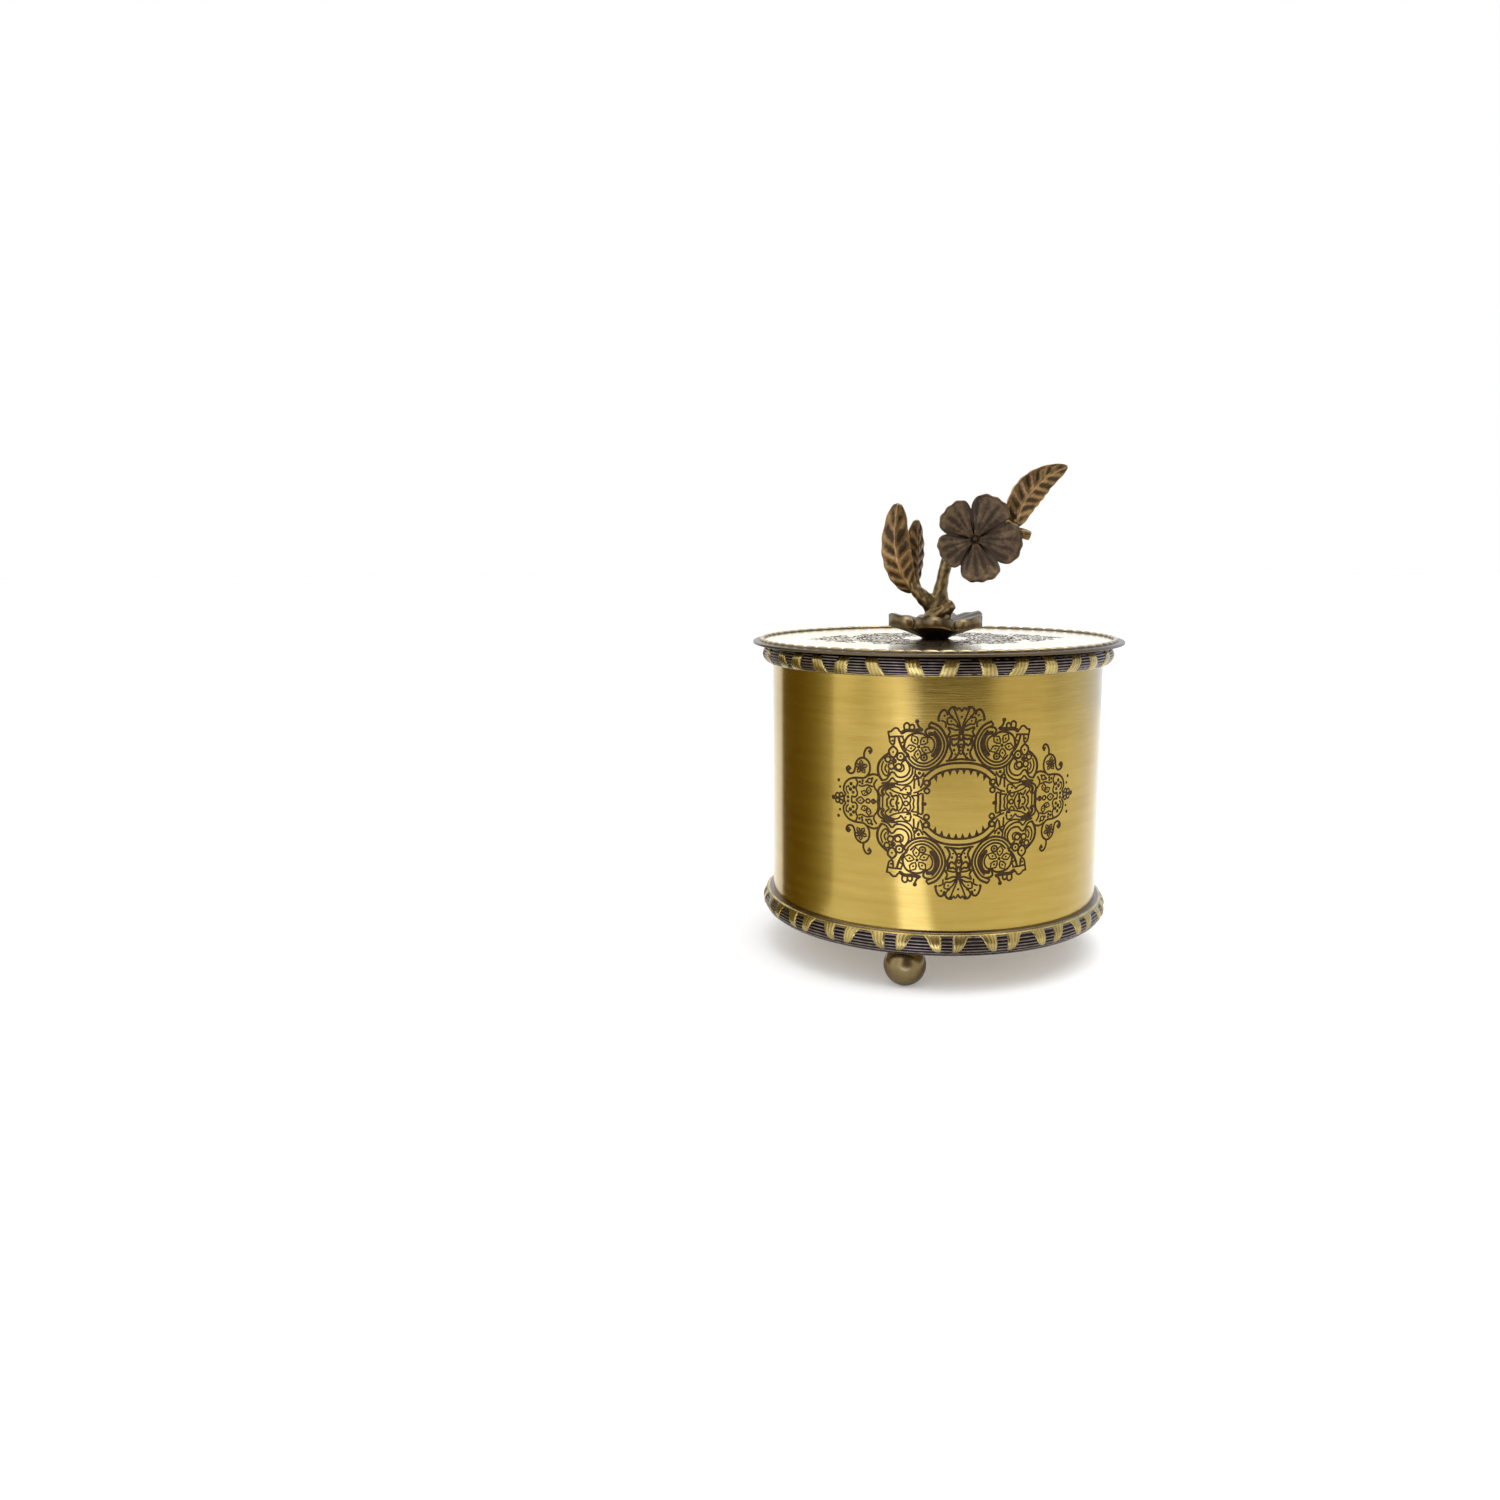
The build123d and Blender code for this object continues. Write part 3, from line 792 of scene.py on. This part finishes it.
def ropeBorder():
    bm = bmesh.new()
    layer = bm.verts.layers.float.new("rub")
    a = borderBead
    step = 2 * pi / a["count"]
    for k in range(a["count"]):
        points, values = [], []
        for i in range(a["along"] + 1):
            t = 2 * i / a["along"] - 1
            row, rowValues = [], []
            swell = sqrt(max(0.0, 1 - abs(t) ** a["roundness"]))
            for j in range(a["across"] + 1):
                turn = pi * j / a["across"]
                aside = -cos(turn) * swell
                angle = step * (k + 0.5 * t * a["overlap"] + a["slant"] * 0.5 * aside)
                height = a["rise"] * swell * sin(turn) - a["sunk"]
                row.append(around(a["radius"] + a["half"] * aside, angle, lidTop + height))
                # bead tops are painted light as a highlight and the low places between beads dark as
                # shade
                rowValues.append(a["topHighlight"] * swell * sin(turn) + a["lowShade"])
            points.append(row)
            values.append(rowValues)
        addGrid(bm, points, layer=layer, values=values)
    obj = makeObject("ropeBorder", bm, doubles=1e-5)
    onBody(obj, "lid", rimBrass)
    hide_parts("lid_border")


ropeBorder()
print("border done")


# cast knob, placed from the middle of the lid's top
def knobPoint(x, y, z):
    return Vector((x, y, lidTop + z))


leafForm = {
    "curve": 0.62,
    "toothTurn": 1.2,
    "veinSlant": 0.9,
    "veinHeight": 0.24,
    "ribWidth": 0.13,
    "ribHeight": 0.5,
    "rollFrom": 0.75,
    "edgeThinning": 0.45,
    "backFold": 0.6,
    "rub": 0.36,
    "veinWearAndLight": 0.22,
    "ribWearAndLight": 0.38,
    "edgeBrightening": 0.25,
    "backWearAndLight": 0.3,
}


def leafPiece(name, node, look):
    # blade with a raised midrib and slanting veins; its spine is a path of (x, depth, height)
    form = leafForm
    bm = bmesh.new()
    layer = bm.verts.layers.float.new("rub")
    spine = [knobPoint(*point) for point in smoothPath(look["spine"], look["steps"])]
    count = len(spine) - 1
    half, peak = look["across"], look["widest"]
    base, tip = form["curve"], form["curve"] * (1 - peak) / peak
    most = peak**base * (1 - peak) ** tip
    front = Vector(around(1, radians(look["turn"]), 0))
    points, values = [], []
    for i, place in enumerate(spine):
        t = i / count
        along = (spine[min(i + 1, count)] - spine[max(i - 1, 0)]).normalized()
        side = along.cross(front).normalized()
        facing = side.cross(along).normalized()
        body = max(t, 1e-6) ** base * max(1 - t, 0.0) ** tip / most
        frontRow, backRow, frontValues = [], [], []
        for j in range(-half, half + 1):
            s = j / half
            width = look["widths"][1 if s > 0 else 0] * body
            tooth = sin(2 * pi * look["veins"] * t + form["toothTurn"]) * abs(s) ** 3
            vein = sin(2 * pi * (look["veins"] * t - form["veinSlant"] * abs(s)))
            vein *= min(1.0, 5 * abs(s)) * (1 - abs(s) ** 6) * min(1.0, 6 * t, 5 * (1 - t))
            rib = exp(-((s / form["ribWidth"]) ** 2))
            height = form["veinHeight"] * vein - look["fold"] * abs(s) * width
            height += form["ribHeight"] * rib * (1 - t)
            height += look["roll"] * max(0.0, abs(s) - form["rollFrom"]) * 4
            thick = look["thick"] * (1 - form["edgeThinning"] * s * s) * min(1.0, 0.45 + 4 * body)
            flat = place + side * (s * width * (1 + look["teeth"] * tooth))
            frontRow.append(flat + facing * (height + thick / 2))
            backRow.append(flat + facing * (height * form["backFold"] - thick / 2))
            # raised veins and midrib are lighter and vein hollows darker, partly wear and partly
            # painted highlight and painted shade; the edges are lighter
            rub = form["rub"] + form["veinWearAndLight"] * vein + form["ribWearAndLight"] * rib
            frontValues.append(rub + form["edgeBrightening"] * abs(s) ** 5)
        points.append(frontRow + backRow[::-1])
        values.append(frontValues + [form["backWearAndLight"]] * len(backRow))
    addGrid(bm, points, closeColumns=True, layer=layer, values=values)
    for ring in (points[0], points[-1]):
        verts = [vert for vert in bm.verts if any((vert.co - point).length < 1e-5 for point in ring)]
        bmesh.ops.pointmerge(bm, verts=verts, merge_co=sum(ring, Vector()) / len(ring))
    obj = makeObject(name, bm)
    onBody(obj, "lid", leafBronze)
    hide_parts(node)


leafPiece(
    "bigLeaf",
    "knob_leaf_big",
    {
        "spine": [(-7.0, 0.9, 14.2), (-11.0, -0.9, 20.5), (-13.0, -1.9, 29.5), (-12.2, -0.6, 41.3)],
        "steps": 14,
        "across": 12,
        "widest": 0.52,
        "widths": (4.5, 4.6),
        "turn": -12,
        "teeth": 0.03,
        "veins": 7,
        "fold": 0.30,
        "roll": 0.25,
        "thick": 1.5,
    },
)
leafPiece(
    "smallLeaf",
    "knob_leaf_small",
    {
        "spine": [(-6.2, 1.8, 16.8), (-5.9, 2.4, 22.5), (-5.6, 2.6, 29.0), (-6.0, 2.0, 36.4)],
        "steps": 14,
        "across": 10,
        "widest": 0.5,
        "widths": (3.6, 2.9),
        "turn": 26,
        "teeth": 0.07,
        "veins": 6,
        "fold": 0.35,
        "roll": 0.2,
        "thick": 1.4,
    },
)
leafPiece(
    "endLeaf",
    "knob_leaf_end",
    {
        "spine": [(23.8, 2.2, 33.8), (26.6, 1.2, 42.0), (32.0, 0.5, 48.1), (39.8, 1.8, 52.1)],
        "steps": 16,
        "across": 12,
        "widest": 0.42,
        "widths": (4.7, 4.9),
        "turn": 8,
        "teeth": 0.025,
        "veins": 8,
        "fold": 0.24,
        "roll": 0.25,
        "thick": 1.5,
    },
)


def polarPiece(name, node, centre, tilt, rings, spokes, shape, material):
    # closed piece over a round grid; shape gives radius, height and a level of wear and painted light
    # by angle, share and side, where the side is 0 in front and 1 behind
    bm = bmesh.new()
    layer = bm.verts.layers.float.new("rub")
    up = Vector((0, sin(radians(tilt)), cos(radians(tilt))))
    facing = Vector((0, -cos(radians(tilt)), sin(radians(tilt))))
    right = Vector((1, 0, 0))
    points, values = [], []
    for k in range(spokes):
        angle = 2 * pi * k / spokes
        row, rowValues = [], []
        for side, order in ((0, range(rings + 1)), (1, range(rings, -1, -1))):
            for i in order:
                radius, height, rub = shape(angle, i / rings, side)
                flat = right * (radius * cos(angle)) + up * (radius * sin(angle))
                row.append(centre + flat + facing * height)
                rowValues.append(rub)
        points.append(row)
        values.append(rowValues)
    addGrid(bm, points, closeRows=True, layer=layer, values=values)
    obj = makeObject(name, bm, doubles=1e-3)
    onBody(obj, "lid", material)
    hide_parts(node)


blossom = {
    "turn": -10,
    "lengths": (13.9, 13.4, 12.6, 12.0, 13.4),
    "notch": 0.30,
    "frill": 0.012,
    "cup": 3.0,
    "bow": 0.9,
    "thick": 1.3,
    "ribs": 4.5,
    "ribHeight": 0.28,
    "grooveWidth": 0.16,
    "grooveDepth": 1.0,
}
eye = {"radius": 1.75, "scallops": 6, "scallop": 0.10, "rim": 0.5, "swell": 1.0, "fall": 0.6}
dish = {
    "turn": 20,
    "lobes": 6,
    "radius": 15.0,
    "notch": 0.17,
    "foot": 3.9,
    "rim": 7.2,
    "floor": 4.8,
    "lip": 3.1,
    "ribs": 2.5,
    "warp": 0.5,
    "lobeRise": 0.35,
    "dip": 0.5,
    "dipWidth": 0.2,
}


def petalPlace(angle, turn, count):
    # which petal an angle is in, and where across it, from -1 to 1
    turned = (angle - radians(turn)) / (2 * pi / count)
    number = round(turned)
    return number % count, 2 * (turned - number)


def blossomShape(angle, share, side):
    number, across = petalPlace(angle, blossom["turn"], len(blossom["lengths"]))
    length = blossom["lengths"][number] * (1 - blossom["notch"] * abs(across) ** 4.5)
    length *= 1 + blossom["frill"] * cos(across * pi * 5)
    rib = cos(pi * blossom["ribs"] * across) * share * (1 - share**6) * (1 - abs(across) ** 8)
    groove = exp(-(((1 - abs(across)) / blossom["grooveWidth"]) ** 2)) * min(1.0, 3 * share)
    height = blossom["cup"] * share**1.4 + blossom["bow"] * (share * (1 - across * across))
    height += blossom["ribHeight"] * rib - blossom["grooveDepth"] * groove
    thick = blossom["thick"] * (1 - 0.3 * share)
    if side:
        return length * share, height - thick - 0.2, 0.25
    # the creases between petals are painted dark as shade; ribs and petal tips are lighter, partly wear
    # and partly painted highlight
    return length * share, height, 0.30 + 0.18 * rib - 0.5 * groove + 0.25 * share**5


def eyeShape(angle, share, side):
    radius = eye["radius"] * share * (1 + eye["scallop"] * cos(eye["scallops"] * angle))
    if side:
        return radius, 0.1, 0.1
    swell = sin(pi * min(1.0, 0.25 + share)) ** 2
    height = eye["rim"] + eye["swell"] * swell - eye["fall"] * share
    # a lighter ring halfway out on the swell, partly wear and partly painted highlight
    return radius, height, 0.1 + 0.6 * share * (1 - share)


def dishShape(angle, share, side):
    _, across = petalPlace(angle, dish["turn"], dish["lobes"])
    outline = dish["radius"] * (1 - dish["notch"] * abs(across) ** 3.5)
    wave = dish["warp"] * sin(2 * angle + 0.7)
    wave += dish["lobeRise"] * cos(dish["lobes"] * (angle - radians(dish["turn"])))
    rib = cos(pi * dish["ribs"] * across)
    if side:
        low = dish["foot"] / outline
        if share <= low:
            return outline * share, 0.02, 0.1
        rise = (share - low) / (1 - low)
        height = (dish["rim"] - dish["lip"] + wave * 0.9) * rise**0.85
        height -= 0.5 * abs(across) ** 3 * rise
        # lighter towards the rim, partly wear and partly painted highlight
        return outline * share * (1 + 0.02 * rib), height + 0.02, 0.16 + 0.5 * rise**4
    dip = dish["dip"] * exp(-(((1 - abs(across)) / dish["dipWidth"]) ** 2))
    height = dish["floor"] + (dish["rim"] - dish["floor"]) * share**1.6
    height += (wave + 0.16 * rib - dip) * share**2
    # the ribs and the rim are lighter, partly wear and partly painted highlight
    return outline * share, height, 0.25 + 0.3 * rib * share + 0.25 * share**6


polarPiece("blossom", "knob_blossom", knobPoint(10.9, -3.6, 30.2), 8, 16, 180, blossomShape, bronze)
polarPiece("blossomEye", "knob_blossom_eye", knobPoint(10.9, -3.75, 30.2), 8, 8, 36, eyeShape, bronze)
polarPiece("dish", "knob_dish", knobPoint(0, 0, 0), 90, 14, 168, dishShape, dishBronze)


stem = {
    "sides": 14,
    "steps": 8,
    "swell": 0.06,
    "swellTurn": 0.9,
    "voxel": 0.28,
    "soften": 0.6,
    "passes": 6,
}
stemLimbs = [  # paths of (x, depth, height, radius)
    [(0.6, 1.2, 4.6, 4.6), (0.7, 1.2, 7.4, 4.2), (1.0, 1.3, 10.2, 3.6), (1.6, 1.4, 14.5, 2.3),
     (2.4, 1.5, 19.0, 1.9), (3.8, 1.6, 24.0, 2.0), (8.0, 1.7, 28.0, 2.1), (14.0, 1.7, 31.0, 2.1),
     (20.0, 1.7, 32.6, 2.0), (24.6, 1.6, 32.3, 1.7), (29.0, 1.5, 31.2, 1.5)],
    [(0.6, 1.0, 8.6, 3.1), (-2.2, 0.9, 11.2, 2.6), (-4.8, 0.9, 13.6, 2.1), (-7.0, 1.0, 16.0, 1.6),
     (-7.6, 1.0, 18.4, 1.0)],
    [(-4.6, 1.6, 13.2, 1.6), (-5.8, 1.9, 16.4, 1.3), (-6.0, 2.2, 20.0, 0.9)],
    [(1.4, 0.2, 7.6, 2.0), (3.6, -0.2, 9.4, 2.3), (5.4, 0.0, 10.6, 1.5)],
    [(-1.2, -1.4, 6.2, 1.6), (0.8, -2.3, 7.6, 1.7), (2.8, -2.0, 9.4, 1.2)],
    [(10.9, 1.8, 30.0, 1.9), (10.9, -1.6, 30.2, 1.9), (10.9, -3.6, 30.3, 1.6)],
    [(22.4, 1.8, 32.0, 1.5), (24.0, 2.0, 34.4, 1.3), (25.2, 1.8, 37.4, 0.8)],
    [(19.4, 0.6, 35.2, 1.2), (21.8, 0.6, 34.6, 1.7), (24.4, 0.8, 33.4, 1.5)],
]


def addLimb(bm, limb):
    # rings of vertices along a path
    path = [(Vector(point[:3]), point[3]) for point in smoothPath(limb, stem["steps"])]
    rings = []
    for i, (place, radius) in enumerate(path):
        along = (path[min(i + 1, len(path) - 1)][0] - path[max(i - 1, 0)][0]).normalized()
        side = along.cross(Vector((0, -1, 0))).normalized()
        other = side.cross(along)
        ring = []
        for k in range(stem["sides"]):
            angle = 2 * pi * k / stem["sides"]
            swell = radius * (1 + stem["swell"] * sin(3 * angle + i * stem["swellTurn"]))
            spoke = side * (swell * cos(angle)) + other * (swell * sin(angle))
            ring.append(knobPoint(*(place + spoke)))
        rings.append(ring)
    table = addGrid(bm, rings, closeColumns=True)
    bm.faces.new(table[0][::-1])
    bm.faces.new(table[-1])


def stemPiece():
    bm = bmesh.new()
    for limb in stemLimbs:
        addLimb(bm, limb)
    obj = makeObject("stem", bm)
    remesh = obj.modifiers.new("cast", "REMESH")
    remesh.mode = "VOXEL"
    remesh.voxel_size = stem["voxel"] * mm
    remesh.use_smooth_shade = True
    soften = obj.modifiers.new("soften", "SMOOTH")
    soften.factor = stem["soften"]
    soften.iterations = stem["passes"]
    onBody(obj, "lid", stemBronze)
    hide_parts("knob_stem")


stemPiece()
print("knob done")


# camera, placed in metres and turned in degrees
cameraPlace, cameraTilt, cameraRoll = (-0.05783, -0.38258, 0.12434), 80.682, -0.408
camera = bpy.data.objects.new("camera", bpy.data.cameras.new("camera"))
camera.data.lens = 29.48
camera.data.sensor_width = 36
camera.data.clip_start = 0.01
camera.matrix_world = (
    Matrix.Translation(cameraPlace)
    @ Matrix.Rotation(radians(cameraTilt), 4, "X")
    @ Matrix.Rotation(radians(cameraRoll), 4, "Z")
)
scene.collection.objects.link(camera)
scene.camera = camera


# white tent: the world, the floor, and what is only seen reflected in the brass, which is the
# tent's wall with a dark place in front, a light patch on the floor and amber brass to the left
def emitter(name, colour, strength, attribute=None):
    material = bpy.data.materials.new(name)
    material.use_nodes = True
    tree = material.node_tree
    tree.nodes.clear()
    light = tree.nodes.new("ShaderNodeEmission")
    light.inputs["Color"].default_value = colour
    light.inputs["Strength"].default_value = strength
    if attribute:
        source = tree.nodes.new("ShaderNodeAttribute")
        source.attribute_name = attribute
        tree.links.new(source.outputs["Color"], light.inputs["Color"])
    output = tree.nodes.new("ShaderNodeOutputMaterial")
    tree.links.new(light.outputs[0], output.inputs[0])
    return material


def card(name, corners, material):
    mesh = bpy.data.meshes.new(name)
    mesh.from_pydata([tuple(v * mm for v in corner) for corner in corners], [], [(0, 1, 2, 3)])
    mesh.materials.append(material)
    obj = bpy.data.objects.new(name, mesh)
    scene.collection.objects.link(obj)
    return obj


def onlyReflected(obj):
    obj.visible_camera = False
    obj.visible_diffuse = False
    obj.visible_shadow = False
    obj.visible_transmission = False


white = (1, 1, 1, 1)
world = bpy.data.worlds.new("tent")
world.use_nodes = True
background = world.node_tree.nodes["Background"]
background.inputs["Color"].default_value = white
background.inputs["Strength"].default_value = 1.0
scene.world = world

# the camera sees the floor's paper a little paler than it is lit
extraPaleness = 0.22
floorCorners = [(-4000, -3000, 0), (4000, -3000, 0), (4000, 6000, 0), (-4000, 6000, 0)]
floorMaker = Maker("floorPaper", Roughness=0.6)
floorMaker.colour(white)
tree = floorMaker.tree
paleness = tree.nodes.new("ShaderNodeMixShader")
pale = tree.nodes.new("ShaderNodeEmission")
seen = Number(floorMaker, tree.nodes.new("ShaderNodeLightPath").outputs["Is Camera Ray"])
floorMaker.feed(paleness.inputs[0], seen * extraPaleness)
tree.links.new(floorMaker.shader.outputs[0], paleness.inputs[1])
tree.links.new(pale.outputs[0], paleness.inputs[2])
tree.links.new(paleness.outputs[0], tree.nodes["Material Output"].inputs[0])
floor = card("floor", floorCorners, floorMaker.material)

tentForm = {"radius": 600, "height": 1500, "step": 3}
glow = [  # (degrees from the front, reflected colour)
    (-180, 1.3, 1.3, 1.3), (-95, 1.35, 1.35, 1.35), (-82, 1.65, 1.65, 1.6), (-67, 1.75, 1.75, 1.75),
    (-53, 1.25, 1.25, 1.15), (-40, 2.0, 2.0, 2.1), (-33, 2.15, 2.15, 2.3), (-26, 1.7, 1.65, 1.7),
    (-20, 0.45, 0.40, 0.35), (-14, 0.26, 0.22, 0.17), (12, 0.26, 0.22, 0.17), (24, 0.33, 0.28, 0.22),
    (31, 0.85, 0.82, 0.72), (38, 1.3, 1.26, 1.15), (60, 1.3, 1.26, 1.15), (77, 0.95, 0.95, 0.98),
    (95, 1.2, 1.25, 1.45), (119, 1.1, 1.22, 1.5), (180, 1.2, 1.2, 1.2),
]
amber = [  # (millimetres behind the box's middle, reflected colour)
    (-60, 1.0, 0.95, 0.8), (-40, 0.75, 0.70, 0.5), (-27, 0.43, 0.36, 0.13), (-18, 0.32, 0.24, 0.06),
    (-6, 0.24, 0.16, 0.015), (20, 0.22, 0.15, 0.015), (60, 0.32, 0.26, 0.16),
]
reflector = {"x": -134, "y": 4, "radius": 56, "sides": 96, "bottom": 1, "top": 99}
patchCorners = [(-21, -67, 1), (-2, -72, 1), (-190, -576, 1), (-340, -502, 1)]
patchColour, patchStrength = (0.85, 0.9, 1.2, 1), 3.8


def paint(obj, table, key):
    # gives each vertex the colour that the table has for its key
    layer = obj.data.attributes.new("glow", "FLOAT_COLOR", "POINT")
    for vert, item in zip(obj.data.vertices, layer.data):
        value = min(max(key(vert.co), table[0][0]), table[-1][0])
        for (low, *lowColour), (high, *highColour) in zip(table, table[1:]):
            if low <= value <= high:
                share = (value - low) / (high - low)
                item.color = [a + (b - a) * share for a, b in zip(lowColour, highColour)] + [1]
    obj.data.materials.append(emitter(obj.name, white, 1.0, "glow"))
    onlyReflected(obj)


bm = bmesh.new()
turns = [radians(turn) for turn in range(-180, 181, tentForm["step"])]
addGrid(bm, [[around(tentForm["radius"], turn, z) for turn in turns] for z in (0, tentForm["height"])])
tent = makeObject("tentWall", bm, doubles=0)
paint(tent, glow, lambda co: degrees(atan2(co.x, -co.y)))

patch = card("lightPatch", patchCorners, emitter("lightPatch", patchColour, patchStrength))
onlyReflected(patch)

bm = bmesh.new()
outline = circle(reflector["x"], reflector["y"], reflector["radius"], reflector["sides"])
rows = [[(x, y, z) for x, y in outline] for z in (reflector["bottom"], reflector["top"])]
table = addGrid(bm, rows, closeColumns=True)
bm.faces.new(table[1])
side = makeObject("amberReflector", bm)
paint(side, amber, lambda co: co.y / mm)

skylightPlace, skylightAim = Vector((0.15, -0.15, 1.1)), Vector((0, 0, 0.05))
lightData = bpy.data.lights.new("skylight", "AREA")
lightData.shape = "RECTANGLE"
lightData.size, lightData.size_y = 1.2, 0.9
lightData.energy = 9
skylight = bpy.data.objects.new("skylight", lightData)
skylight.location = skylightPlace
skylight.rotation_euler = (skylightAim - skylightPlace).to_track_quat("-Z", "Y").to_euler()
scene.collection.objects.link(skylight)

scene.view_settings.view_transform = "Standard"
